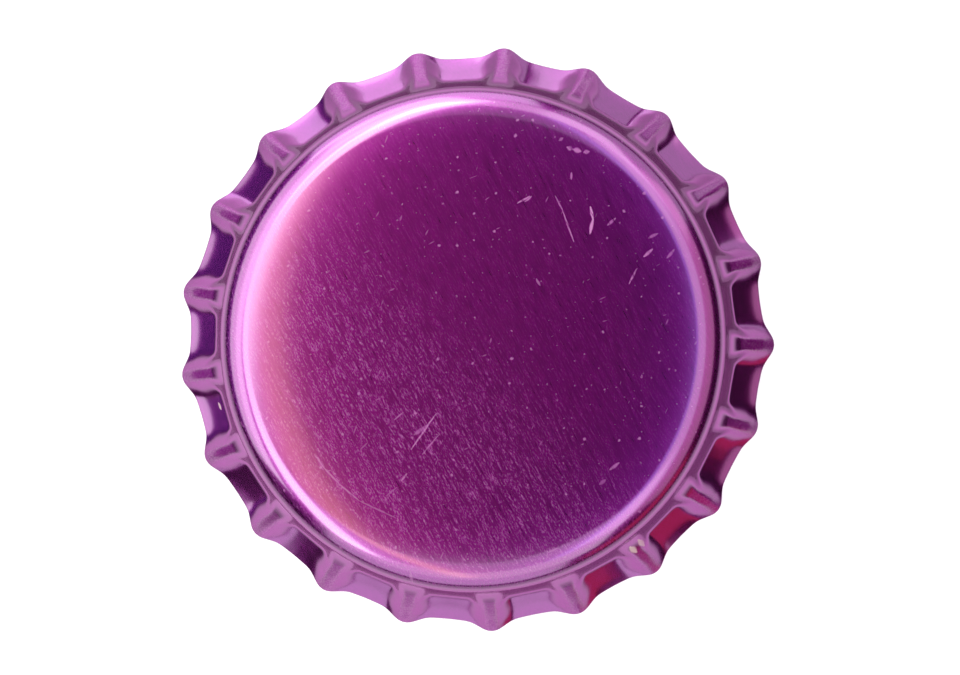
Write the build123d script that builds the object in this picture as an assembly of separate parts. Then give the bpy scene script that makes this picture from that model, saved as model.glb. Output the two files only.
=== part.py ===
"""Crown bottle cap: a fluted shell of lacquered tinplate with a soft sealing liner in its top.

Millimetres, +Z up. The cap stands on its rim, with the origin on its axis in the plane of the rim.
"""

import os
from collections import namedtuple
from math import atan2, cos, pi, sin, sqrt, tan

from build123d import *

# Sizes of the shell
cap_height = 6.0  # rim to top panel
mouth_radius = 13.36  # inside of the plain wall, which goes over the bottle's mouth
sheet = 0.24  # tinplate with its lacquer
shoulder_radius = 1.7  # outside of the bend between top panel and wall
plain_wall = 0.6  # wall between the shoulder and the flutes
flute_count = 21

# Meridian of a ridge, on the outside of the sheet
ridge_blend = 0.38  # height that the turn from wall to ridge takes on the wall
ridge_reach = 2.45  # wall to the tip of a ridge, measured out from the wall

# Meridian of a trough, on the outside of the sheet
trough_wall = 1.35  # wall that the trough keeps below the plain wall
lip_blend = 0.65  # height that the turn from wall to lip takes on the wall
lip_reach = 1.82  # wall to the edge of the lip, measured out from the wall

# Section of a flute, measured along the rim from the middle of its ridge
crest_half_width = 0.36  # rounded crest
ridge_half_width = 1.55  # foot of a flank
out_of_round = 0.14  # the lip is wider along X and narrower along Y by this much on each side

# The sheet is cut square, so the outer corner of its edge stands above the inner one
edge_rise_share = 0.66  # of the sheet, the cosine of its slope at the rim
shoulder_folds = 3  # steps that the inside of the shoulder turns in

# Sizes of the liner
liner_film = 0.3  # disc in the middle
liner_corner = 1.0  # bevelled outer corner, which clears the inside of the shoulder
bead_width = 2.4  # flat of the bead, which the bottle's lip presses on
bead_taper = 0.4  # width of the slope from the bead up to the disc

# Worked out from the sizes above
wall_radius = mouth_radius + sheet
panel_radius = wall_radius - shoulder_radius
skirt_top = cap_height - shoulder_radius
flute_top = skirt_top - plain_wall
lip_radius = wall_radius + lip_reach
edge_rise = edge_rise_share * sheet
flute_pitch = 2 * pi / flute_count

# root is the height at which the straight flare would meet the wall
Meridian = namedtuple("Meridian", "root blend reach")
ridge_line = Meridian(flute_top - ridge_blend, ridge_blend, ridge_reach)
trough_line = Meridian(flute_top - trough_wall - lip_blend, lip_blend, lip_reach)


def flare_slope(line):
    """Angle between the straight flare and the plane of the rim."""
    return atan2(line.root - edge_rise, line.reach)


def bend_radius(line, inset):
    """Radius of the bend at one depth below the outside of the sheet."""
    return line.blend / tan((pi / 2 - flare_slope(line)) / 2) + inset


def bend_start(line):
    """Height at which the wall runs into the bend."""
    return line.root + line.blend


def bend_end(line, inset):
    """Height at which the bend runs into the straight flare."""
    return bend_start(line) - bend_radius(line, inset) * cos(flare_slope(line))


def flare_radius(line, height, inset):
    """Radius of a meridian at one height: down the wall, round the bend, then straight out.

    inset is the depth below the outside of the sheet, so inset = sheet gives the parallel inside.
    """
    if height >= bend_start(line):
        return wall_radius - inset
    bend = bend_radius(line, inset)
    if height >= bend_end(line, inset):
        return wall_radius - inset + bend - sqrt(bend**2 - (bend_start(line) - height) ** 2)
    slope = flare_slope(line)
    return wall_radius + line.reach - (height - edge_rise) / tan(slope) - inset / sin(slope)


def flute_outline(height, inset):
    """Closed outline of the skirt at one height: crest, flank, trough and flank, once for each flute.

    On the outside the crest is an arc that runs on into both flanks. On the inside of the fold it is a
    narrower flat strip, and the flank's foot draws in with it.
    """
    trough = flare_radius(trough_line, height, inset)
    ridge = flare_radius(ridge_line, height, inset)
    fold = atan2(ridge - trough, ridge_half_width - crest_half_width / 2)
    crest = (crest_half_width - inset * sin(fold)) / lip_radius
    foot = (ridge_half_width - inset * tan(fold / 2)) / lip_radius
    crest_end_share = 1.0 if inset else 1 - crest / (2 * foot - crest)
    flare_share = (trough + inset - wall_radius) / lip_reach

    def point(angle, ridge_share):
        radius = trough + (ridge - trough) * ridge_share + out_of_round * flare_share * cos(2 * angle)
        return Vector(radius * cos(angle), radius * sin(angle), height)

    edges = []
    for index in range(flute_count):
        middle = index * flute_pitch
        following = middle + flute_pitch
        stops = [
            point(middle - crest, crest_end_share),
            point(middle, 1.0),
            point(middle + crest, crest_end_share),
            point(middle + (crest + foot) / 2, crest_end_share / 2),
            point(middle + foot, 0.0),
            point(middle + flute_pitch / 2, 0.0),
            point(following - foot, 0.0),
            point(following - (crest + foot) / 2, crest_end_share / 2),
            point(following - crest, crest_end_share),
        ]
        edges += [ThreePointArc(*stops[first : first + 3]) for first in range(0, len(stops) - 1, 2)]
    return Wire(edges)


def skirt_skin(edge_height, inset):
    """Faces of one side of the skirt: straight between outlines where the bends start and end.

    The outside has one outline more, in the middle of the lip's bend.
    """
    lip_start = bend_start(trough_line)
    lip_end = bend_end(trough_line, inset)
    lip_heights = [lip_end] if inset else [(lip_start + lip_end) / 2, lip_end]
    heights = [flute_top, bend_end(ridge_line, inset), lip_start, *lip_heights, edge_height]
    return Shell.make_loft([flute_outline(height, inset) for height in heights], ruled=True).faces()


def top_skin(inset):
    """Faces of one side of the top: flat panel, shoulder and plain wall, turned about the axis.

    The shoulder is round on the outside. Inside, it is folded in steps that keep the sheet's thickness.
    """
    wall = wall_radius - inset
    panel_end = Vector(panel_radius, 0, cap_height - inset)
    wall_start = Vector(wall, 0, skirt_top)
    profile = [Line((0, 0, cap_height - inset), panel_end)]
    if inset:
        centre = Vector(panel_radius, 0, skirt_top)
        step = pi / 2 / shoulder_folds
        reach = (shoulder_radius - inset) / cos(step / 2)
        turns = [step * (index + 1 / 2) for index in range(shoulder_folds)]
        folds = [centre + Vector(reach * sin(turn), 0, reach * cos(turn)) for turn in turns]
        profile += Polyline(panel_end, *folds, wall_start).edges()
    else:
        profile.append(TangentArc(panel_end, wall_start, tangent=(1, 0, 0)))
    profile.append(Line(wall_start, (wall, 0, flute_top)))
    return Shell.revolve(Wire(profile), 360, Axis.Z).faces()


def crown_shell():
    """Shell: the two sides of the sheet and the cut edge between them, sewn into one solid."""
    corners = [flute_outline(edge_rise, 0.0), flute_outline(0.0, sheet)]
    cut_edge = Shell.make_loft(corners, ruled=True).faces()
    outside = top_skin(0.0) + skirt_skin(edge_rise, 0.0)
    inside = top_skin(sheet) + skirt_skin(0.0, sheet)
    return Solid(Shell(outside + cut_edge + inside))


def sealing_liner():
    """Liner: a thin disc against the top panel, thickened round its edge into the sealing bead."""
    back = cap_height - sheet
    film_face = back - liner_film
    bead_face = back - liner_corner
    liner_radius = panel_radius + liner_corner
    bead_start = liner_radius - bead_width
    with BuildPart() as liner:
        with BuildSketch(Plane.XZ):
            with BuildLine():
                Polyline(
                    (0, back),
                    (panel_radius, back),
                    (liner_radius, bead_face),
                    (bead_start, bead_face),
                    (bead_start - bead_taper, film_face),
                    (0, film_face),
                    close=True,
                )
            make_face()
        revolve(axis=Axis.Z)
    return liner.part


os.makedirs("parts", exist_ok=True)
export_step(crown_shell(), "parts/crown_shell.step")
export_step(sealing_liner(), "parts/sealing_liner.step")
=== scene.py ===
# %% [markdown]
# # A crown bottle cap, from sheet metal to studio light
#
# A crown cap is one disc of tinplate, lacquered purple, drawn into a shallow cup whose skirt is pressed
# into flutes. A soft plastic liner sits inside its top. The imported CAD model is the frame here: its nodes
# say where things are and how large they may be. This lesson builds the finer surfaces that the eye sees,
# as functions of two parameters worked out with numpy, and then their finishes, the light and the camera.

import bpy
import numpy as np
from mathutils import Matrix, Vector


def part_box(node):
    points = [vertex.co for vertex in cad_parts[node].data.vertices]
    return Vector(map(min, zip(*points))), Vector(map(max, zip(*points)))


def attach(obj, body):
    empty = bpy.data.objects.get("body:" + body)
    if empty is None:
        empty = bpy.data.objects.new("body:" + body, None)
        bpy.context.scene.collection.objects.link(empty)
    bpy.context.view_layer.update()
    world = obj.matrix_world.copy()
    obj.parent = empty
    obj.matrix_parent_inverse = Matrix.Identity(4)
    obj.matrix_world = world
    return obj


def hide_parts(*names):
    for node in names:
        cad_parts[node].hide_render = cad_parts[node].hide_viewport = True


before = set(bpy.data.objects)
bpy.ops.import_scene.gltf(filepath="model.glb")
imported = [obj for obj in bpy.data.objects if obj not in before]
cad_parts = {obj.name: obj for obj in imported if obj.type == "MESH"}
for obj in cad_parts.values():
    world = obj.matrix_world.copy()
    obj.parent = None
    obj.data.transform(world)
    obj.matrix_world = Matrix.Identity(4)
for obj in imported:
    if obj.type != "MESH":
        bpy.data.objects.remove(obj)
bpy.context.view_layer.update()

# %% [markdown]
# ## Sizes
#
# All shapes below are worked out in millimetres, because a cap is thought of in millimetres, and are turned
# into metres when a mesh is made. The height comes from the frame. The other sizes are those of the pressed
# sheet: a flat panel, a rounded shoulder, a short plain wall and the flutes below it.

# %% Sizes of the pressed sheet
MM = 0.001
shell_low, shell_high = (np.array(corner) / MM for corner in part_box("crown_shell"))

cap_height = shell_high[2]
sheet = 0.24
wall_radius = 13.6
shoulder_radius = 1.7
plain_wall = 0.6
ridge_reach = 2.435  # wall to the tip of a ridge
lip_reach = 1.82  # wall to the edge of a trough
edge_rise = 0.158  # height of the outer corner of the cut edge
out_of_round = 0.14  # the rim is wider along X and narrower along Y by this much on each side
flute_count = 21

panel_radius = wall_radius - shoulder_radius
skirt_top = cap_height - shoulder_radius
flute_top = skirt_top - plain_wall
lip_radius = wall_radius + lip_reach
flute_pitch = 2 * np.pi / flute_count
print(f"cap {shell_high[0] - shell_low[0]:.2f} mm across and {cap_height:.2f} mm high")

# %% [markdown]
# ## Two meridians
#
# Cut the cap through the middle of a ridge and the section runs down the wall, turns out early and goes
# straight to a tip. Cut it through a trough and it stays steep for longer, turns, and ends in a flatter lip
# that the press has rolled out. A slope that changes smoothly along the curve, added up step by step, gives
# both. A spline through points would do too, but a slope is what decides which part of the room a shiny
# surface mirrors, so it is the thing to set.


# %% Meridians from their slope
def rise(values, start, end):
    """Goes smoothly from 0 at the start to 1 at the end: three squares of the share less two cubes."""
    share = np.clip((values - start) / (end - start), 0, 1)
    return share**2 * (3 - 2 * share)


def meridian(reach, turns):
    """Radius and height down one section of the skirt.

    The slope starts upright, and each turn brings it smoothly to a new angle between two shares of the
    way. Sums of its cosine and sine give the curve, scaled to the reach. A straight wall fills the rest.
    """
    way = np.linspace(0, 1, 800)
    slope = np.full(way.shape, 90.0)
    for start, end, angle in turns:
        slope += (angle - slope) * rise(way, start, end)
    out = np.cumsum(np.cos(np.radians(slope)))
    down = np.cumsum(np.sin(np.radians(slope)))
    scale = reach / out[-1]
    radius = np.concatenate([[wall_radius], wall_radius + out * scale])
    height = np.concatenate([[flute_top], edge_rise + (down[-1] - down) * scale])
    return radius, height


def radius_at(section, heights):
    """Radius of a section at given heights, read off its curve."""
    radius, height = section
    return np.interp(heights, height[::-1], radius[::-1])


# each turn: share of the way where it starts and ends, and its new slope in degrees
ridge_section = meridian(ridge_reach, [(0, 0.46, 44)])
trough_section = meridian(lip_reach, [(0, 0.12, 77), (0.47, 0.57, 41.5), (0.7, 1, 33)])
print("ridge and trough leave the wall at", ridge_section[1][1].round(2), trough_section[1][1].round(2))

# %% [markdown]
# ## One flute
#
# Going round the rim, the sheet climbs from the trough over a straight flank to a narrow rounded crest. A
# roof with both its ridge and its eaves rounded does this in one line of algebra, so no corner has to be
# bevelled later. Near the wall the ridge is a wide, crisp fold. Towards the rim the sheet had more room to
# flow, so the crest gets narrower and the feet wider and rounder.


# %% Share of a ridge at each angle
crest_half_width, neck_half_width = 0.28, 0.58
foot_half_width, foot_growth = 1.04, 0.1
crest_softening, foot_softening = 0.16, 0.3
most_askew = np.radians(0.15)
width_change = 0.05


def at_least_zero(values, rounding):
    """A rounded version of the larger of a value and 0: half of its sum with the root of squares."""
    return (values + np.sqrt(values**2 + rounding**2)) / 2


def at_most_one(values, rounding):
    """A rounded version of the smaller of a value and 1, which is 1 less the larger of 0 and the rest."""
    return 1 - at_least_zero(1 - values, rounding)


def ridge_number(angles):
    """Number of the nearest ridge, from 0 on the X axis, and the angle from its middle."""
    number = np.round(angles / flute_pitch)
    return number % flute_count, angles - number * flute_pitch


def ridge_share(angles, fall, corner):
    """How far a point is from trough (0) to crest (1), where fall goes from the flute's top to the rim.

    The flank is the distance from the foot over the flank's width, cut off at 0 and 1 with rounded corners.
    Each ridge is a little askew and wide or narrow, by sines of its number.
    """
    number, turn = ridge_number(angles)
    askew = most_askew * np.sin(1.9 * number + 1.0)
    width = 1 + width_change * np.sin(3.1 * number + 0.5)
    offset = np.abs(turn - askew) * lip_radius / width
    crest = neck_half_width + (crest_half_width - neck_half_width) * rise(fall, 0.3, 0.65)
    foot = foot_half_width + foot_growth * rise(fall, 0.4, 0.9)
    crest_round = corner + crest_softening * rise(fall, 0.7, 1.0)
    foot_round = corner + foot_softening * rise(fall, 0.4, 0.9)
    flank = at_most_one((foot - offset) / (foot - crest), crest_round)
    top = at_most_one(foot / (foot - crest), crest_round)
    return at_least_zero(flank / top, foot_round) / at_least_zero(1.0, foot_round)


flute_columns = 40
columns = flute_count * flute_columns
part = np.arange(columns) / flute_columns
around = flute_pitch * (part - 0.5 * np.sin(2 * np.pi * part) / (2 * np.pi))  # closer together at crests
print("share from crest to trough:", np.round(ridge_share(around[:20:3], 0.5, 0.1), 2))

# %% [markdown]
# ## Uneven ridges
#
# No press is perfect: each ridge is a little shorter than the next, and the two beside the one on the X
# axis are clearly short. Random numbers would do, but sines of the ridge's number look as uneven and give
# the same cap each time.

# %% How much shorter each ridge is
uneven_reach, short_beside = 0.006, 0.04


def ridge_shortfall(angles):
    """Share of its reach that each ridge lacks: a little by a sine, more beside the ridge on the X axis."""
    number, _ = ridge_number(angles)
    beside = np.abs(np.abs(number - flute_count / 2) - flute_count / 2) == 1
    return uneven_reach * (1 + np.sin(2.7 * number + 4.3)) + short_beside * beside


print("ridges lack up to", ridge_shortfall(around).max().round(3), "of their reach")

# %% [markdown]
# ## Panel, shoulder and wall
#
# The top is a flat lid with a rounded edge, so it could be a lathe profile of a line and an arc. Real lids
# are very slightly domed towards their edge, and on a shiny lid that small slope spreads the reflection of
# a lamp far over the panel. The slope is set here too, and added up to a curve.


# %% Rows of the top
def top_rows():
    """Radius and height of the panel, shoulder and wall.

    The slope grows as a fifth power across the panel to a few degrees, then turns evenly to upright over
    the shoulder.
    """
    dome_slope = np.radians(6.5)
    panel_share = panel_radius / (panel_radius + shoulder_radius * np.pi / 2)
    way = np.linspace(0, 1, 2000)
    over_shoulder = np.clip((way - panel_share) / (1 - panel_share), 0, 1)
    slope = dome_slope * np.clip(way / panel_share, 0, 1) ** 5
    slope = slope + (np.pi / 2 - dome_slope) * over_shoulder
    out, down = np.cumsum(np.cos(slope)), np.cumsum(np.sin(slope))
    stops = np.concatenate([np.linspace(0.07, panel_share, 11), np.linspace(panel_share, 1, 19)[1:]])
    radius = np.interp(stops, way, out / out[-1]) * wall_radius
    height = cap_height - np.interp(stops, way, down / down[-1]) * (cap_height - skirt_top)
    return np.append(radius, wall_radius), np.append(height, (skirt_top + flute_top) / 2)


top_radius, top_height = top_rows()
print("the panel falls", (cap_height - top_height[10]).round(2), "mm to its edge")

# %% [markdown]
# ## The outside of the sheet
#
# The whole outside is one grid: rows go from the middle of the panel over the shoulder and down the skirt,
# columns go round. Below the wall, the radius runs from the trough's section to the ridge's by the share
# above, and the middle of each trough is slightly hollow. The rim is a little oval, as the cap in the
# picture is. Two numbers go with each point, for the finish: wear comes to the crests first, and painted
# shade dulls the coat in the corner under the shoulder, where the sheet mirrors shade.

# %% Outside as a grid of points
trough_hollow = 0.03
edge_row = 0.015  # one row this close to the rim keeps the shading of the edge crisp
worn_from = wall_radius + 0.6  # the crests are worn outside this radius
# painted shade: the coat is dulled between these radii, in the corner under the shoulder
corner_shade_inner, corner_shade_outer = wall_radius - 0.2, wall_radius + 0.2  # the corner's film lies between these radii


def outside_grid(corner):
    """Points of the outside, rows by columns by three, with the wear of the crests and the corner's painted
    shade.

    The oval is a squeeze along Y and a stretch along X that grows with the distance from the wall.
    """
    skirt_height = np.append(np.linspace(flute_top, edge_rise + edge_row, 41), edge_rise)
    fall = ((flute_top - skirt_height) / (flute_top - edge_rise))[:, None]
    share = ridge_share(around[None, :], fall, corner)
    trough = radius_at(trough_section, skirt_height)[:, None]
    ridge = radius_at(ridge_section, skirt_height)[:, None]
    ridge = ridge - ridge_shortfall(around)[None, :] * (ridge - wall_radius)
    hollow = trough_hollow * rise(np.abs(ridge_number(around)[1]) / flute_pitch, 0.18, 0.5)
    skirt_radius = trough + (ridge - trough) * share - hollow * rise(fall, 0.5, 0.7)
    all_radius = np.concatenate([np.repeat(top_radius[:, None], columns, 1), skirt_radius])
    all_height = np.repeat(np.concatenate([top_height, skirt_height])[:, None], columns, 1)
    worn = rise(share, 0.75, 0.95) * rise(skirt_radius, worn_from, worn_from + 0.3)
    wear = np.concatenate([np.zeros((len(top_radius), columns)), worn])
    # painted shade: the coat is dulled at the foot of the shoulder and wall and in the troughs just below,
    # where the sheet mirrors shade
    wall_shade = np.repeat(rise(top_radius, corner_shade_inner, corner_shade_inner + 0.15)[:, None], columns, 1)
    skirt_shade = (1 - share) * (1 - rise(skirt_radius, corner_shade_outer, corner_shade_outer + 0.25))
    corner_shade = np.concatenate([wall_shade, skirt_shade])
    oval = out_of_round / lip_radius * np.clip(all_radius - wall_radius, 0, lip_reach) / lip_reach
    across, along = all_radius * (1 + oval) * np.cos(around), all_radius * (1 - oval) * np.sin(around)
    return np.stack([across, along, all_height], axis=2), wear, corner_shade


outside, crest_wear, painted_corner_shade = outside_grid(corner=0.1)
tip_radius = np.hypot(outside[-1, :, 0], outside[-1, :, 1]).max()
print("outside:", outside.shape, "tips reach", tip_radius.round(2))

# %% [markdown]
# ## The inside of the sheet
#
# Sheet metal has the same thickness everywhere, so the inside is the outside moved in along its normals.
# Solidify would do this too, but the folds are so tight that its inner wall would cross itself. Here the
# inside starts from a grid with softer folds. The normal of a grid is the cross product of its two
# differences.


# %% Inside from a softer outside
def grid_normals(points):
    """Unit normals of a closed grid: differences down the rows crossed with differences round the columns."""
    down = np.gradient(points, axis=0)
    sideways = np.roll(points, -1, axis=1) - np.roll(points, 1, axis=1)
    normals = np.cross(down, sideways)
    return normals / np.linalg.norm(normals, axis=2, keepdims=True)


lowest = 0.004
softer = outside_grid(corner=0.45)[0]
wall_row, last_row = len(top_radius) - 1, len(softer) - 1
inner_rows = np.concatenate([np.arange(0, wall_row, 2), np.arange(wall_row, last_row, 2), [last_row]])
inside = (softer - sheet * grid_normals(softer))[inner_rows]
inside[..., 2] = np.maximum(inside[..., 2], lowest)
print("inside:", inside.shape, "lowest at", inside[..., 2].min().round(3))

# %% [markdown]
# ## The cut edge
#
# Between the two skins the blanking die has left a cut edge. A flat band would close the sheet, but a real
# edge is never quite sharp and catches a thin line of light, so it is closed by a shallow half round.

# %% Edge between the skins
edge_bulge = sheet / 14
outer_corner, inner_corner = outside[-1], inside[-1]
half_turn = np.linspace(0, np.pi, 6)[1:-1, None, None]
middle = (outer_corner + inner_corner) / 2
spoke = (outer_corner - inner_corner) / 2
outward = np.cross(np.roll(middle, -1, axis=0) - np.roll(middle, 1, axis=0), spoke)
outward *= edge_bulge / np.linalg.norm(outward, axis=1, keepdims=True)
edge = middle + np.cos(half_turn) * spoke + np.sin(half_turn) * outward
edge[..., 2] = np.maximum(edge[..., 2], lowest)
print("edge bulges", np.round((edge[1, 0] - middle[0]), 3), "mm at the first tip")

# %% [markdown]
# ## Shader groups
#
# Several finishes share the same small effects: the grain of rolled sheet, specks of dust, single scratches
# and curled scuffs. They could be copied from material to material. Each is a node group with named sockets
# instead, made once. A group only puts out masks and heights, and the material that uses it decides what
# they mean. Short helpers make one node a line, so that a tree reads like a formula.


# %% Helpers for nodes
FLOAT, VECTOR = "NodeSocketFloat", "NodeSocketVector"


def new_group(name, inputs, outputs):
    """An empty shader group with float or vector sockets, and its input and output nodes."""
    group = bpy.data.node_groups.new(name, "ShaderNodeTree")
    for socket, kind, value in inputs:
        made = group.interface.new_socket(socket, in_out="INPUT", socket_type=kind)
        made.default_value = value
    for socket in outputs:
        group.interface.new_socket(socket, in_out="OUTPUT", socket_type=FLOAT)
    return group, group.nodes.new("NodeGroupInput"), group.nodes.new("NodeGroupOutput")


def feed(tree, socket, value):
    """Links a socket to another one, or sets its value."""
    if isinstance(value, bpy.types.NodeSocket):
        tree.links.new(value, socket)
    else:
        socket.default_value = value


def node(tree, kind, *values, **settings):
    """One node with its settings, and its inputs fed in order."""
    made = tree.nodes.new(kind)
    for key, value in settings.items():
        setattr(made, key, value)
    for socket, value in zip(made.inputs, values):
        feed(tree, socket, value)
    return made


def maths(tree, operation, *values, clamp=False):
    """Output of one Math node."""
    return node(tree, "ShaderNodeMath", *values, operation=operation, use_clamp=clamp).outputs[0]


def vector_maths(tree, operation, *values):
    """Vector that one Vector Math node puts out."""
    return node(tree, "ShaderNodeVectorMath", *values, operation=operation).outputs["Vector"]


def vector_number(tree, operation, *values):
    """Number that one Vector Math node puts out, such as a length or a dot product."""
    return node(tree, "ShaderNodeVectorMath", *values, operation=operation).outputs["Value"]


def spread(tree, value, low, high, to_low=0.0, to_high=1.0):
    """Smooth map of a value from one range to another, held at the ends."""
    made = node(tree, "ShaderNodeMapRange", interpolation_type="SMOOTHSTEP")
    for socket, number in zip(made.inputs, (value, low, high, to_low, to_high)):
        feed(tree, socket, number)
    return made.outputs[0]


def noise(tree, position, fineness, detail):
    """A noise texture in millimetres: fineness is in waves per millimetre."""
    made = node(tree, "ShaderNodeTexNoise", noise_dimensions="3D")
    feed(tree, made.inputs["Vector"], position)
    feed(tree, made.inputs["Scale"], fineness)
    made.inputs["Detail"].default_value = detail
    return made


# %% [markdown]
# ## Grain
#
# Rolling leaves fine streaks in the sheet, all in one direction, and tiny bright spots in rows along them.
# An anisotropic shader gives the sheen of such streaks but not the streaks themselves. Noise that is
# stretched along the rolling direction shows them, and a finer, less stretched noise gives the glints.


# %% Group: grain of rolled sheet
def stretched(tree, position, angle, ratio):
    """Position that makes a pattern longer by a ratio along one direction in plan."""
    turned = node(tree, "ShaderNodeMapping", position, vector_type="TEXTURE")
    turned.inputs["Rotation"].default_value = (0, 0, np.radians(angle))
    turned.inputs["Scale"].default_value = (ratio, 1.0, 1.0)
    return turned.outputs[0]


def make_rolling_grain():
    """Streaks: noise nine times as long along the rolling direction as across it.

    Glints are finer noise above a level, times the streaks above a level.
    """
    rolling_angle = -60
    inputs = [("Position", VECTOR, (0, 0, 0)), ("Fineness", FLOAT, 9.0), ("Contrast", FLOAT, 0.5)]
    group, given, result = new_group("rolling_grain", inputs, ["Grain", "Height", "Glints"])
    place, fineness = given.outputs["Position"], given.outputs["Fineness"]
    streaks = noise(group, stretched(group, place, rolling_angle, 9.0), fineness, 3.0)
    streaks.inputs["Roughness"].default_value = 0.65
    centred = maths(group, "SUBTRACT", streaks.outputs[0], 0.5)
    strong = maths(group, "MULTIPLY", centred, given.outputs["Contrast"])
    feed(group, result.inputs["Grain"], maths(group, "MULTIPLY_ADD", strong, 4.0, 0.5, clamp=True))
    feed(group, result.inputs["Height"], streaks.outputs[0])
    finer = maths(group, "MULTIPLY", fineness, 2.2)
    fine = noise(group, stretched(group, place, rolling_angle, 2.6), finer, 2.0)
    in_streaks = spread(group, streaks.outputs[0], 0.38, 0.64)
    glints = maths(group, "MULTIPLY", spread(group, fine.outputs[0], 0.4, 0.8), in_streaks)
    feed(group, result.inputs["Glints"], glints)
    return group


rolling_grain = make_rolling_grain()
print(rolling_grain.name, "has", len(rolling_grain.nodes), "nodes")

# %% [markdown]
# ## Specks
#
# A cap that has been in a pocket is dotted with dust and tiny dents. Placing hundreds by hand is no use. A
# Voronoi pattern has one centre in each cell, and a dot round some of the centres gives specks that never
# lie in rows. It is flat, in plan, because in space most centres would miss the surface.


# %% Group: specks
def shaken(tree, position, fineness, amount):
    """Position moved about by noise, by the amount in millimetres at most."""
    colour = noise(tree, position, fineness, 2.0).outputs["Color"]
    centred = vector_maths(tree, "SUBTRACT", colour, (0.5, 0.5, 0.5))
    step = vector_maths(tree, "MULTIPLY", centred, (2 * amount, 2 * amount, 2 * amount))
    return vector_maths(tree, "ADD", position, step)


def make_specks():
    """Ragged specks in some of the cells of a Voronoi pattern, each cell with its own size.

    The place is first moved by noise, so that no speck is quite round.
    """
    inputs = [
        ("Position", VECTOR, (0, 0, 0)),
        ("Cells per mm", FLOAT, 1.0),
        ("Size", FLOAT, 0.06),
        ("Share", FLOAT, 0.4),
    ]
    group, given, result = new_group("specks", inputs, ["Specks"])
    cells = node(group, "ShaderNodeTexVoronoi", voronoi_dimensions="2D", feature="F1")
    feed(group, cells.inputs["Vector"], shaken(group, given.outputs["Position"], 4.0, 0.1))
    feed(group, cells.inputs["Scale"], given.outputs["Cells per mm"])
    tone = node(group, "ShaderNodeSeparateColor", cells.outputs["Color"])
    size = maths(group, "MULTIPLY", given.outputs["Size"], maths(group, "ADD", tone.outputs[1], 0.4))
    near = maths(group, "DIVIDE", cells.outputs["Distance"], size)
    chosen = maths(group, "LESS_THAN", tone.outputs[0], given.outputs["Share"])
    dots = spread(group, near, 0.4, 1.0, 1.0, 0.0)
    feed(group, result.inputs["Specks"], maths(group, "MULTIPLY", dots, chosen))
    return group


specks = make_specks()
print(specks.name, "has", len(specks.nodes), "nodes")

# %% [markdown]
# ## One scratch
#
# The larger scratches are easy to tell apart in the picture, so each is set down by its two ends. Painting
# them would need an image. The distance to a line is a short formula, and one group holds it for all.


# %% Group: one scratch
def make_scratch():
    """Mask of a line from one point to another, which tapers to its ends.

    The point's share along the line is its offset from the start times the line, over the line's square,
    held between 0 and 1. Its distance is then measured to the point of the line at that share.
    """
    inputs = [
        ("Position", VECTOR, (0, 0, 0)),
        ("Start", VECTOR, (0, 0, 0)),
        ("End", VECTOR, (1, 0, 0)),
        ("Width", FLOAT, 0.06),
        ("Strength", FLOAT, 0.8),
    ]
    group, given, result = new_group("scratch", inputs, ["Scratch"])
    start = given.outputs["Start"]
    from_start = vector_maths(group, "SUBTRACT", given.outputs["Position"], start)
    line = vector_maths(group, "SUBTRACT", given.outputs["End"], start)
    along = vector_number(group, "DOT_PRODUCT", from_start, line)
    square = vector_number(group, "DOT_PRODUCT", line, line)
    share = maths(group, "DIVIDE", along, square, clamp=True)
    foot = node(group, "ShaderNodeVectorMath", line, operation="SCALE")
    feed(group, foot.inputs["Scale"], share)
    distance = vector_number(group, "DISTANCE", from_start, foot.outputs["Vector"])
    taper = maths(group, "MULTIPLY", share, maths(group, "SUBTRACT", 1.0, share))
    narrowed = maths(group, "MULTIPLY_ADD", taper, 2.4, 0.4)
    wide = maths(group, "MULTIPLY", given.outputs["Width"], narrowed)
    mask = spread(group, maths(group, "DIVIDE", distance, wide), 0.3, 1.0, 1.0, 0.0)
    feed(group, result.inputs["Scratch"], maths(group, "MULTIPLY", mask, given.outputs["Strength"]))
    return group


scratch = make_scratch()
print(scratch.name, "has", len(scratch.nodes), "nodes")

# %% [markdown]
# ## Scuffs
#
# Caps rub against each other on their crests, which leaves short curled marks there. Where noise crosses
# its middle level it draws such curls, and a wear mask says where they show.


# %% Group: scuffs
def make_scuffs():
    """Curled lines where noise crosses its middle level, as strong as the wear."""
    inputs = [("Position", VECTOR, (0, 0, 0)), ("Wear", FLOAT, 0.0), ("Fineness", FLOAT, 5.0)]
    group, given, result = new_group("scuffs", inputs, ["Scuffs", "Tone"])
    patches = noise(group, given.outputs["Position"], given.outputs["Fineness"], 4.0)
    off_level = maths(group, "ABSOLUTE", maths(group, "SUBTRACT", patches.outputs[0], 0.5))
    curls = spread(group, off_level, 0.01, 0.05, 1.0, 0.0)
    feed(group, result.inputs["Scuffs"], maths(group, "MULTIPLY", curls, given.outputs["Wear"]))
    feed(group, result.inputs["Tone"], patches.outputs[0])
    return group


scuffs = make_scuffs()
print(scuffs.name, "has", len(scuffs.nodes), "nodes")
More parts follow.
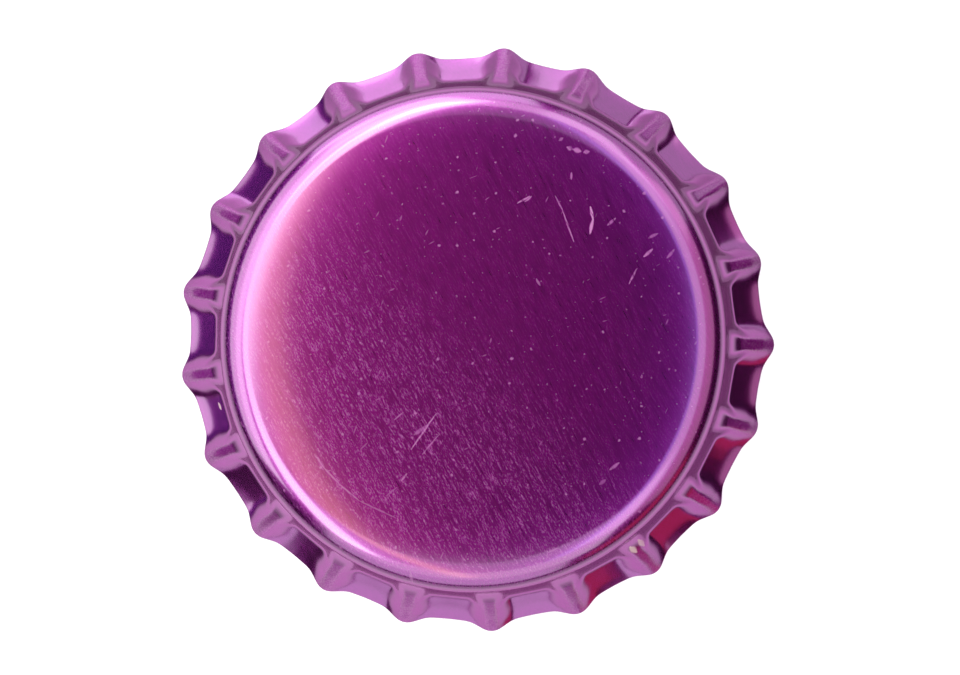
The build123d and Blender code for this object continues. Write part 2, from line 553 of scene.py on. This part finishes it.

# %% [markdown]
# ## Marks on the lacquer
#
# Handling has left scratches and dust on the panel, and a few chips where the lacquer has come off down to
# a pale ground. Each scratch is a short line, and a bent one is made of several. Light-coloured glints of
# the grain are strongest at the lower left and fade to the upper right. That fade is painted light, for the
# side of the panel that catches more of the lamps.

# %% Scratches and chips
scratch_list = [
    # start x, y, end x, y, width and strength, in millimetres from the middle of the panel
    (4.3, 7.75, 4.75, 6.9, 0.06, 0.5),
    (4.75, 6.9, 5.35, 5.3, 0.07, 0.6),
    (6.2, 7.2, 6.35, 6.55, 0.11, 0.9),
    (6.35, 6.55, 6.2, 5.75, 0.13, 0.9),
    (2.3, 7.3, 2.95, 7.7, 0.07, 0.7),
    (2.7, 7.4, 3.05, 7.7, 0.07, 0.6),
    (4.9, 10.35, 5.15, 10.25, 0.18, 0.6),
    (5.25, 10.25, 5.6, 10.15, 0.2, 0.6),
    (5.8, 10.1, 6.05, 10.15, 0.17, 0.55),
    (4.45, 10.7, 4.65, 10.85, 0.12, 0.45),
    (5.15, 9.0, 5.15, 8.65, 0.09, 0.55),
    (9.1, 4.6, 9.55, 5.0, 0.12, 0.65),
    (8.35, 3.15, 8.75, 3.95, 0.08, 0.6),
    (7.15, 6.25, 7.55, 6.6, 0.12, 0.5),
    (9.35, 5.6, 9.8, 5.85, 0.12, 0.45),
    (10.35, 4.55, 10.7, 5.0, 0.12, 0.45),
    (3.4, 3.3, 3.6, 2.95, 0.09, 0.5),
    (-3.1, -5.95, -1.8, -4.0, 0.07, 0.7),
    (-2.5, -6.2, -1.6, -5.1, 0.06, 0.5),
    (-2.95, -5.15, -2.25, -4.65, 0.16, 0.45),
    (-4.05, -4.4, -3.6, -4.0, 0.06, 0.5),
    (-3.6, -7.65, -3.3, -7.25, 0.09, 0.55),
    (-4.35, -8.45, -3.85, -8.0, 0.06, 0.35),
    (-5.8, -6.0, -5.45, -5.65, 0.06, 0.35),
    (-8.3, -6.3, -7.75, -7.05, 0.07, 0.5),
    (-7.75, -7.05, -6.9, -7.9, 0.07, 0.5),
    (-6.9, -7.9, -5.85, -8.75, 0.07, 0.5),
    (-5.85, -8.75, -3.85, -9.65, 0.06, 0.4),
    (7.55, -6.8, 8.0, -6.45, 0.13, 0.5),
    (7.0, -7.6, 7.3, -7.35, 0.14, 0.35),
    (4.35, -11.3, 4.8, -11.05, 0.1, 0.4),
    (-3.05, -12.5, -2.95, -13.1, 0.12, 0.7),
]
chip_list = [
    (8.65, -11.05, 8.95, -11.3, 0.26, 0.9),
    (9.1, -10.65, 9.35, -10.95, 0.22, 0.75),
    (-13.9, -3.75, -13.75, -4.1, 0.09, 0.7),
]
print(len(scratch_list), "scratches and", len(chip_list), "chips")


# %% [markdown]
# ## From lists to masks
#
# Every mark ends up in one mask that says how broken the film is. Adding masks up would make crossings too
# bright, so the largest counts. Dust comes in layers of specks, two of them drawn out into short strokes.


# %% Masks of the marks
def use_group(tree, group, **values):
    """A group's node in a material, with its sockets fed by name. An underscore stands for a space."""
    made = tree.nodes.new("ShaderNodeGroup")
    made.node_tree = group
    for name, value in values.items():
        feed(tree, made.inputs[name.replace("_", " ")], value)
    return made


def scratch_mask(tree, position, marks):
    """Largest of the masks of some scratches at a point, seen from above."""
    total = 0.0
    for x1, y1, x2, y2, width, strength in marks:
        ends = {"Start": (x1, y1, 0), "End": (x2, y2, 0)}
        made = use_group(tree, scratch, Position=position, Width=width, Strength=strength, **ends)
        total = maths(tree, "MAXIMUM", total, made.outputs["Scratch"])
    return total


def dust_mask(tree, position, marks):
    """The largest of some marks and four layers of specks: round, fine, and two of short strokes."""
    strokes, cross_strokes = stretched(tree, position, 68, 5.0), stretched(tree, position, 25, 4.0)
    for place, cells, size, share, strength in (
        (position, 1.0, 0.085, 0.22, 0.55),
        (position, 2.2, 0.1, 0.3, 0.4),
        (strokes, 1.3, 0.045, 0.35, 0.35),
        (cross_strokes, 1.2, 0.045, 0.25, 0.35),
    ):
        dust = use_group(tree, specks, Position=place, Cells_per_mm=cells, Size=size, Share=share)
        marks = maths(tree, "MAXIMUM", marks, maths(tree, "MULTIPLY", dust.outputs[0], strength))
    return marks


def panel_marks(tree, position, plan, grain, height):
    """Scratches broken by the grain, dust, and glints whose painted light fades to the upper right, on the
    top only.
    """
    ragged = spread(tree, grain.outputs["Height"], 0.3, 0.5, 0.3, 1.0)
    marks = maths(tree, "MULTIPLY", scratch_mask(tree, plan, scratch_list), ragged)
    marks = dust_mask(tree, position, marks)
    # painted light: the glints are strongest at the lower left, the side that catches more of the lamps, and
    # fade to the upper right
    to_upper_right = vector_number(tree, "DOT_PRODUCT", position, (0.65, 0.75, 0.0))
    painted_light_fade = spread(tree, to_upper_right, -5, 2, 0.7, 0.12)
    sparkle = maths(tree, "MULTIPLY", grain.outputs["Glints"], painted_light_fade)
    return maths(tree, "MULTIPLY", maths(tree, "MAXIMUM", marks, sparkle), spread(tree, height, 4.4, 5.4))


# %% [markdown]
# ## Purple lacquer
#
# The lacquer is a clear film, tinted purple, over bright tinplate. Light that goes through it to the metal
# comes back purple; light that the film's face mirrors keeps its own colour, which is why the highlights
# are lavender and the dark parts deep purple. Glass over metal would be true but slow. A metallic base with
# a clear coat does the same. Where a mark has broken the film, the coat and the metal's mirror go.


# %% Lacquer material
def new_material(name):
    """A material with its tree, its Principled BSDF and the surface position in millimetres."""
    material = bpy.data.materials.new(name)
    material.use_nodes = True
    tree = material.node_tree
    place = tree.nodes.new("ShaderNodeTexCoord").outputs["Object"]
    position = node(tree, "ShaderNodeVectorMath", place, operation="SCALE")
    position.inputs["Scale"].default_value = 1 / MM
    return material, tree, tree.nodes["Principled BSDF"], position.outputs["Vector"]


def blend(tree, share, first, second):
    """Colour that goes from the first to the second with the share."""
    made = tree.nodes.new("ShaderNodeMix")
    made.data_type = "RGBA"
    for socket, value in zip((made.inputs[0], made.inputs[6], made.inputs[7]), (share, first, second)):
        feed(tree, socket, value)
    return made.outputs[2]


def set_constants(shader, **values):
    """Numbers that are the same all over, set on the shader's own sockets."""
    for name, value in values.items():
        shader.inputs[name.replace("_", " ")].default_value = value


def bump(tree, height, strength):
    """Normal from a height that is two hundredths of a millimetre deep at full strength."""
    depth = 0.02 * MM
    made = tree.nodes.new("ShaderNodeBump")
    made.inputs["Strength"].default_value = strength
    made.inputs["Distance"].default_value = depth
    feed(tree, made.inputs["Height"], height)
    return made.outputs["Normal"]


def make_lacquer():
    """Tinted clear film over rolled tinplate, with its marks."""
    material, tree, shader, position = new_material("purple_lacquer")
    deep, light = (0.172, 0.002, 0.152, 1), (0.235, 0.004, 0.206, 1)
    bare, cream = (0.33, 0.16, 0.29, 1), (0.5, 0.46, 0.36, 1)
    grain = use_group(tree, rolling_grain, Position=position, Fineness=8.0, Contrast=0.35)
    height = node(tree, "ShaderNodeSeparateXYZ", position).outputs["Z"]
    plan = vector_maths(tree, "MULTIPLY", shaken(tree, position, 3.0, 0.04), (1, 1, 0))
    crest = node(tree, "ShaderNodeAttribute", attribute_name="crest_wear").outputs["Fac"]
    # painted shade of the corner under the shoulder, read from the mesh
    corner_shade = node(tree, "ShaderNodeAttribute", attribute_name="painted_corner_shade").outputs["Fac"]
    worn = use_group(tree, scuffs, Position=position, Wear=crest, Fineness=8.0)
    scuffed = maths(tree, "MULTIPLY", worn.outputs["Scuffs"], 0.35)
    marks = maths(tree, "MAXIMUM", panel_marks(tree, position, plan, grain, height), scuffed)
    chips = scratch_mask(tree, plan, chip_list)
    colour = blend(tree, grain.outputs["Grain"], deep, light)
    colour = blend(tree, chips, blend(tree, marks, colour, bare), cream)
    feed(tree, shader.inputs["Base Color"], colour)
    broken = maths(tree, "MAXIMUM", marks, chips)
    feed(tree, shader.inputs["Metallic"], maths(tree, "MULTIPLY_ADD", broken, -0.85, 1.0))
    rough = spread(tree, height, skirt_top, cap_height - 0.1, 0.2, 0.26)
    rough = maths(tree, "MULTIPLY_ADD", grain.outputs["Grain"], 0.06, rough)
    rough = maths(tree, "MULTIPLY_ADD", crest, 0.12, rough)
    feed(tree, shader.inputs["Roughness"], maths(tree, "MULTIPLY_ADD", broken, 0.2, rough))
    whole = maths(tree, "MULTIPLY_ADD", broken, -0.8, 1.0)
    # painted shade: less coat in the corner under the shoulder, which mirrors shade there
    feed(tree, shader.inputs["Coat Weight"], maths(tree, "MULTIPLY_ADD", corner_shade, -0.4, whole, clamp=True))
    feed(tree, shader.inputs["Normal"], bump(tree, grain.outputs["Height"], 0.03))
    set_constants(shader, IOR=1.5, Specular_Tint=(0.5, 0.06, 0.45, 1), Coat_IOR=2.0, Coat_Roughness=0.14)
    return material


lacquer = make_lacquer()
print(lacquer.name, "has", len(lacquer.node_tree.nodes), "nodes")

# %% [markdown]
# ## Inside of the sheet and cut edge
#
# Inside, the tinplate has a thin clear lacquer with a faint gold tone. The cut edge is bare steel, a little
# stained by the lacquer. Both look like plain metal, so a metallic base with its grain or its die marks is
# enough.


# %% Tinplate and cut steel
def make_tinplate():
    """Bright rolled tinplate under a thin clear lacquer."""
    material, tree, shader, position = new_material("clear_tinplate")
    grain = use_group(tree, rolling_grain, Position=position, Fineness=7.0, Contrast=0.6)
    dust = use_group(tree, specks, Position=position, Cells_per_mm=1.4, Size=0.06, Share=0.2)
    steel = blend(tree, grain.outputs["Grain"], (0.56, 0.53, 0.46, 1), (0.7, 0.67, 0.6, 1))
    feed(tree, shader.inputs["Base Color"], blend(tree, dust.outputs[0], steel, (0.5, 0.48, 0.44, 1)))
    feed(tree, shader.inputs["Roughness"], maths(tree, "MULTIPLY_ADD", grain.outputs["Grain"], 0.12, 0.2))
    feed(tree, shader.inputs["Normal"], bump(tree, grain.outputs["Height"], 0.15))
    set_constants(shader, Metallic=1.0, Coat_Weight=0.4, Coat_Roughness=0.1)
    return material


def make_cut_steel():
    """Bare sheared steel, with fine marks of the die."""
    material, tree, shader, position = new_material("cut_steel")
    worn = use_group(tree, scuffs, Position=position, Wear=0.6, Fineness=7.0)
    steel = blend(tree, worn.outputs["Tone"], (0.3, 0.2, 0.28, 1), (0.52, 0.46, 0.5, 1))
    feed(tree, shader.inputs["Base Color"], steel)
    feed(tree, shader.inputs["Roughness"], spread(tree, worn.outputs["Tone"], 0.3, 0.7, 0.3, 0.5))
    set_constants(shader, Metallic=1.0)
    return material


tinplate, cut_steel = make_tinplate(), make_cut_steel()
print("metals:", tinplate.name, cut_steel.name)

# %% [markdown]
# ## Plastic of the liner
#
# The liner is soft moulded plastic, satin and a little see-through, so some light goes into it and comes
# out nearby. A little subsurface scattering gives that, where a plain diffuse colour would look like chalk.


# %% Liner plastic
def make_liner_plastic():
    """Soft pale plastic with a faint mottle."""
    material, tree, shader, position = new_material("liner_plastic")
    mottle = use_group(tree, scuffs, Position=position, Wear=0.5, Fineness=0.8)
    dust = use_group(tree, specks, Position=position, Cells_per_mm=0.8, Size=0.05, Share=0.15)
    pale = blend(tree, mottle.outputs["Tone"], (0.7, 0.72, 0.69, 1), (0.82, 0.83, 0.8, 1))
    feed(tree, shader.inputs["Base Color"], blend(tree, dust.outputs[0], pale, (0.5, 0.5, 0.48, 1)))
    feed(tree, shader.inputs["Roughness"], spread(tree, mottle.outputs["Tone"], 0.3, 0.7, 0.38, 0.5))
    set_constants(shader, Subsurface_Weight=0.25, Subsurface_Scale=0.6 * MM)
    return material


liner_plastic = make_liner_plastic()
print(liner_plastic.name, "has", len(liner_plastic.node_tree.nodes), "nodes")

# %% [markdown]
# ## The shell as one piece
#
# The three grids follow each other in the order in which a finger would go over them: outside from the
# middle to the rim, edge, inside back to the middle. Separate meshes would leave seams, so they are one
# closed tube, with a fan to a pole at each end. Every band keeps its own material. The finished piece
# stands for the CAD node that it replaces.


# %% Build a mesh from rows of points
def tube_faces(rows, count, pole_start, pole_end):
    """Quads between neighbouring rows of a closed grid, and fans from its first and last row to the poles."""
    index = np.arange(rows * count).reshape(rows, count)
    after = np.roll(index, -1, axis=1)
    quads = np.stack([index[:-1], index[1:], after[1:], after[:-1]], axis=2).reshape(-1, 4)
    first = np.stack([np.full(count, pole_start), index[0], after[0]], axis=1)
    last = np.stack([np.full(count, pole_end), after[-1], index[-1]], axis=1)
    return quads, first, last


def closed_piece(name, points, poles, row_material, materials):
    """One object from a grid in millimetres, with a pole above its first row and one beyond its last."""
    rows, count = points.shape[:2]
    quads, first, last = tube_faces(rows, count, rows * count, rows * count + 1)
    vertices = np.concatenate([points.reshape(-1, 3), np.array(poles)]) * MM
    mesh = bpy.data.meshes.new(name)
    mesh.from_pydata(vertices.tolist(), [], quads.tolist() + first.tolist() + last.tolist())
    band = np.repeat(np.concatenate([row_material[:-1], row_material[:1], row_material[-1:]]), count)
    mesh.polygons.foreach_set("material_index", band.astype(np.int32))
    mesh.polygons.foreach_set("use_smooth", np.ones(len(band), bool))
    for material in materials:
        mesh.materials.append(material)
    mesh.update()
    piece = bpy.data.objects.new(name, mesh)
    bpy.context.scene.collection.objects.link(piece)
    print(name, len(vertices), "vertices", 2 * len(quads) + 2 * count, "triangles")
    return piece


def point_attribute(piece, name, values):
    """Stores one number for each vertex, for materials to read."""
    attribute = piece.data.attributes.new(name, "FLOAT", "POINT")
    attribute.data.foreach_set("value", values.astype(np.float32))


# %% Shell piece
skin = np.concatenate([outside, edge, inside[::-1]])
bands = np.repeat([0, 1, 2], [len(outside), len(edge), len(inside)])
poles = [(0, 0, cap_height), (0, 0, cap_height - sheet)]
shell = closed_piece("cap_shell", skin, poles, bands, (lacquer, cut_steel, tinplate))
not_outside = np.zeros((len(edge) + len(inside)) * columns + len(poles))
point_attribute(shell, "crest_wear", np.concatenate([crest_wear.ravel(), not_outside]))
point_attribute(shell, "painted_corner_shade", np.concatenate([painted_corner_shade.ravel(), not_outside]))
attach(shell, "root")
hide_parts("crown_shell")

# %% [markdown]
# ## The liner
#
# The liner is moulded in place: a thin disc with a raised ring that the bottle's lip presses on. Its section
# is turned about the axis, which Spin or Screw would do too, but a grid goes through the same mesh helper
# as the shell. The back lies flat on the panel, and the face steps down to the bead over rounded corners.
# A low rib inside the bead is where the moulding punch was stepped.


# %% Section of the liner
liner_film = 0.3
bead_start, bead_end = 9.9, 10.65  # radii between which the face steps down to the bead
rib_radius, rib_width, rib_height = 8.6, 0.16, 0.06
corner_height, corner_width = 0.2, 0.3


def liner_section():
    """Radius and height round the liner's section, from the middle of its back to the middle of its face.

    The bevel is a quarter of an ellipse, the step a smooth rise and the rib a bell curve.
    """
    low, high = (np.array(corner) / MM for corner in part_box("sealing_liner"))
    liner_radius, back, bead_face = high[0], high[2], low[2]
    film_face = back - liner_film
    back_radius = np.linspace(0, panel_radius, 6)[1:]
    bevel = np.linspace(0, np.pi / 2, 10)[1:]
    bevel_radius = panel_radius + (liner_radius - panel_radius) * np.sin(bevel)
    bevel_height = back - (back - bead_face - corner_height) * (1 - np.cos(bevel))
    face_radius = np.linspace(liner_radius, 0, 90)[:-1]
    in_corner = np.clip((face_radius - liner_radius + corner_width) / corner_width, 0, 1)
    outer_round = corner_height * (1 - np.sqrt(1 - in_corner**2))
    rib = rib_height * np.exp(-(((face_radius - rib_radius) / rib_width) ** 2))
    step = (film_face - bead_face) * rise(face_radius, bead_start, bead_end)
    radius = np.concatenate([back_radius, bevel_radius, face_radius])
    height = np.concatenate(
        [np.full(back_radius.shape, back), bevel_height, film_face - step + outer_round - rib]
    )
    return radius, height, back, film_face


section_radius, section_height, liner_back, liner_face = liner_section()
print("liner from", section_height.min().round(2), "to", liner_back.round(2), "mm")

# %% Liner piece
liner_columns = 256
liner_around = np.arange(liner_columns) * 2 * np.pi / liner_columns
liner_x = section_radius[:, None] * np.cos(liner_around)
liner_y = section_radius[:, None] * np.sin(liner_around)
liner_z = np.repeat(section_height[:, None], liner_columns, 1)
liner_grid = np.stack([liner_x, liner_y, liner_z], axis=2)
liner_poles = [(0, 0, liner_back), (0, 0, liner_face)]
liner_bands = np.zeros(len(section_radius))
liner = closed_piece("cap_liner", liner_grid, liner_poles, liner_bands, (liner_plastic,))
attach(liner, "root")
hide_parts("sealing_liner")

# %% [markdown]
# ## Floor
#
# The cap lies on white paper. To the camera the paper glows white, and its diffuse part still takes the
# cap's soft shadow. The skirt mirrors the paper too, and there plain white would be wrong: close to the cap
# the paper is shaded and tinted by it, more so on the far side, and further out it fades. So the glow that
# mirrors see is a ring, worked out from the distance to a point a little behind the cap's middle.


# %% Floor
shade_centre = (0.5 * MM, 2.5 * MM, 0)
shade_from, shade_to = 15.5 * MM, 19 * MM
fade_from, fade_to = 21 * MM, 30 * MM
tint_from, tint_to = 15 * MM, 28 * MM
paper_glow = 0.72


def make_paper():
    """White paper: a diffuse part that takes shadow, and a glow that only camera and mirrors see."""
    material = bpy.data.materials.new("white_paper")
    material.use_nodes = True
    tree = material.node_tree
    shader = tree.nodes["Principled BSDF"]
    set_constants(shader, Base_Color=(0.33, 0.33, 0.33, 1), Roughness=0.9, Specular_IOR_Level=0.0)
    path = tree.nodes.new("ShaderNodeLightPath")
    by_camera = path.outputs["Is Camera Ray"]
    seen = maths(tree, "MAXIMUM", by_camera, path.outputs["Is Glossy Ray"])
    seen = maths(tree, "MAXIMUM", seen, path.outputs["Is Transmission Ray"])
    place = tree.nodes.new("ShaderNodeTexCoord").outputs["Object"]
    away = vector_number(tree, "DISTANCE", place, shade_centre)
    beside_cap = spread(tree, away, shade_from, shade_to, 0.2, 0.9)
    further_out = spread(tree, away, fade_from, fade_to, 1.0, 0.12)
    mirrored = maths(tree, "MULTIPLY", beside_cap, further_out)
    glow = maths(tree, "MAXIMUM", mirrored, maths(tree, "MULTIPLY", by_camera, paper_glow))
    whiteness = maths(tree, "MAXIMUM", spread(tree, away, tint_from, tint_to), by_camera)
    tint = blend(tree, whiteness, (1, 0.3, 0.95, 1), (1, 1, 1, 1))
    feed(tree, shader.inputs["Emission Color"], tint)
    feed(tree, shader.inputs["Emission Strength"], maths(tree, "MULTIPLY", seen, glow))
    return material


floor_radius, floor_sides = 0.042, 96
floor_round = np.arange(floor_sides) * 2 * np.pi / floor_sides
floor_rim = np.stack([np.cos(floor_round), np.sin(floor_round), 0 * floor_round], axis=1) * floor_radius
floor_mesh = bpy.data.meshes.new("floor")
floor_mesh.from_pydata(floor_rim.tolist(), [], [list(range(floor_sides))])
floor_mesh.materials.append(make_paper())
floor = bpy.data.objects.new("floor", floor_mesh)
bpy.context.scene.collection.objects.link(floor)
print("floor", 2 * floor_radius, "m across")

# %% [markdown]
# ## Room
#
# To the camera the room is white like the paper, so that no edge of the floor shows. To everything else it
# is dim, because the flat panel mirrors what is behind the camera, and there the picture shows deep purple.

# %% World
room_light = 0.01
world = bpy.data.worlds.new("room")
world.use_nodes = True
room = world.node_tree
to_camera = room.nodes.new("ShaderNodeLightPath").outputs["Is Camera Ray"]
sky = room.nodes["Background"]
sky.inputs["Color"].default_value = (1, 1, 1, 1)
feed(room, sky.inputs["Strength"], maths(room, "MULTIPLY_ADD", to_camera, 1 - room_light, room_light))
bpy.context.scene.world = world
bpy.context.scene.view_settings.view_transform = "Standard"
print("room light", room_light)

# %% [markdown]
# ## Lights
#
# On a shiny round shoulder every lamp is a band: each slope mirrors one angle from the vertical, and each
# side one compass direction. So the lamps are bands of angle. Those at the left are the brightest and make
# the white crescent, with an orange one above them that grades the panel to pink. Those at the right are
# blue, lilac and pink, and give the lavender edge of the panel there. Low strips above and below the cap in
# the picture fill the troughs, and a small crimson one colours those at the lower right.


# %% Lamps
def soft_light(name, compass, lower, upper, length, radiance, colour):
    """Rectangular lamp aimed at the cap. Its power is the radiance times pi times its area."""
    distance = 0.16
    low, high = np.radians(lower), np.radians(upper)
    lamp = bpy.data.lights.new(name, "AREA")
    lamp.shape = "RECTANGLE"
    lamp.size, lamp.size_y = length, 2 * distance * np.tan((high - low) / 2)
    lamp.energy = radiance * np.pi * lamp.size * lamp.size_y
    lamp.color = colour
    turn, tilt = np.radians(compass), (low + high) / 2
    direction = Vector((np.cos(turn) * np.sin(tilt), np.sin(turn) * np.sin(tilt), np.cos(tilt)))
    lamp_object = bpy.data.objects.new(name, lamp)
    place = Matrix.Translation(direction * distance)
    lamp_object.matrix_world = place @ direction.to_track_quat("Z", "Y").to_matrix().to_4x4()
    lamp_object.visible_camera = False
    bpy.context.scene.collection.objects.link(lamp_object)


white, lilac, pink = (0.96, 0.95, 1.0), (0.92, 0.8, 1.0), (1.0, 0.55, 0.8)
orange, crimson = (1.0, 0.5, 0.2), (1.0, 0.08, 0.2)
blue, violet = (0.42, 0.34, 1.0), (0.3, 0.06, 1.0)
for lamp_values in (
    # name, compass, lower and upper angle from the vertical in degrees, length in metres, radiance, colour
    ("left_upper", 187, 12, 18, 0.50, 2.5, orange),
    ("left_main", 169, 18, 34, 0.42, 5.2, white),
    ("left_middle", 154, 34, 52, 0.40, 3.8, white),
    ("left_low", 154, 52, 74, 0.42, 2.6, white),
    ("left_horizon", 165, 74, 88, 0.24, 0.25, violet),
    ("right_upper", 2, 15, 21, 0.30, 2.0, blue),
    ("right_main", 0, 21, 42, 0.26, 2.0, lilac),
    ("right_middle", 0, 42, 70, 0.26, 1.2, pink),
    ("corner_low", 52, 46, 90, 0.12, 1.2, lilac),
    ("far_upper", 92, 18, 44, 0.20, 0.6, lilac),
    ("far_middle", 92, 44, 66, 0.20, 2.0, white),
    ("far_strip", 106, 66, 95, 0.17, 2.8, lilac),
    ("near_upper", 264, 17, 44, 0.22, 1.3, lilac),
    ("near_middle", 267, 44, 66, 0.20, 2.0, white),
    ("near_strip", 262, 66, 90, 0.18, 1.7, lilac),
    ("red_low", 314, 76, 90, 0.10, 1.0, crimson),
):
    soft_light(*lamp_values)
print("lamps:", [light.name for light in bpy.data.lights])

# %% [markdown]
# ## Camera
#
# The picture is taken from almost straight above, about a third of a metre away, and leans a little to the
# right. A long lens at that distance gives the right small difference in size between rim and panel. An
# orthographic camera would give none.

# %% Camera
camera_distance = 0.335
camera_lean, camera_roll = np.radians(2.4), np.radians(1.2)
frame_width = 0.0522
target = Vector((0.0002, 0.0001, 0.0))
camera_data = bpy.data.cameras.new("camera")
camera_data.sensor_width = 36
camera_data.lens = camera_data.sensor_width * camera_distance / frame_width
camera = bpy.data.objects.new("camera", camera_data)
lean = Matrix.Rotation(camera_lean, 4, "Y")
roll = Matrix.Rotation(camera_roll, 4, "Z")
back_off = Matrix.Translation((0, 0, camera_distance))
camera.matrix_world = Matrix.Translation(target) @ lean @ back_off @ roll
bpy.context.scene.collection.objects.link(camera)
bpy.context.scene.camera = camera
print(f"lens {camera_data.lens:.0f} mm, camera at", np.round(np.array(camera.matrix_world.translation), 3))

# %% [markdown]
# ## Finish
#
# Last, the view layer is updated, so that every object's place is current. The visual model has
# to stay in the CAD model's box.

# %% Finish
bpy.context.view_layer.update()
